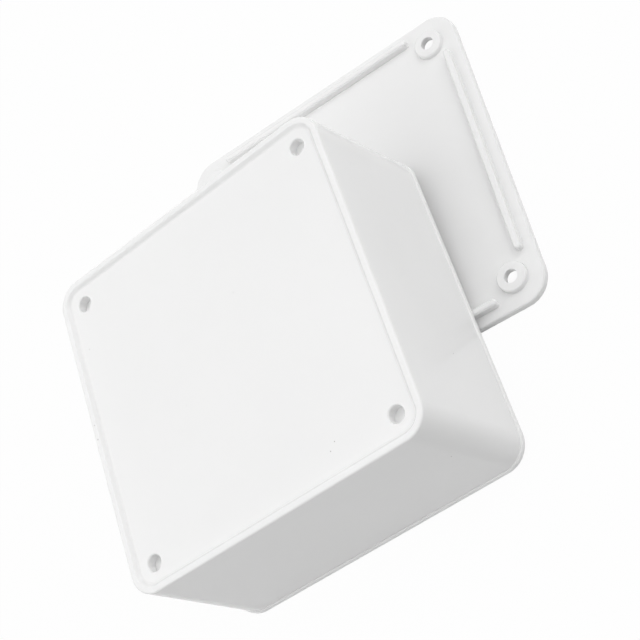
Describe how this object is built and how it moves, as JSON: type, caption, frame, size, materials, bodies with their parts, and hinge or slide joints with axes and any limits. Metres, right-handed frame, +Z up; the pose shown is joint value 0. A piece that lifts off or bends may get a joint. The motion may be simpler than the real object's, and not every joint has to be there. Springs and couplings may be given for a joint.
{
  "type": "junction box",
  "caption": "Square white plastic junction box with its lid taken off: the box lies closed face up, leaning on the lid, whose ribs, bosses and screw holes face up",
  "frame": {"origin": "centre of the lid's outer face, which lies on the table", "axes": "+Z up from the table; X and Y along the sides of the box as it lies, seen from above"},
  "size_m": [0.1253, 0.1444, 0.0538],
  "materials": {
    "white_plastic": "smooth moulded white plastic with a soft gloss",
    "screw_steel": "bright zinc-plated steel"
  },
  "bodies": {
    "root": {"box_body": "white_plastic", "lid": "white_plastic", "lid_screws": "screw_steel"}
  },
  "joints": []
}
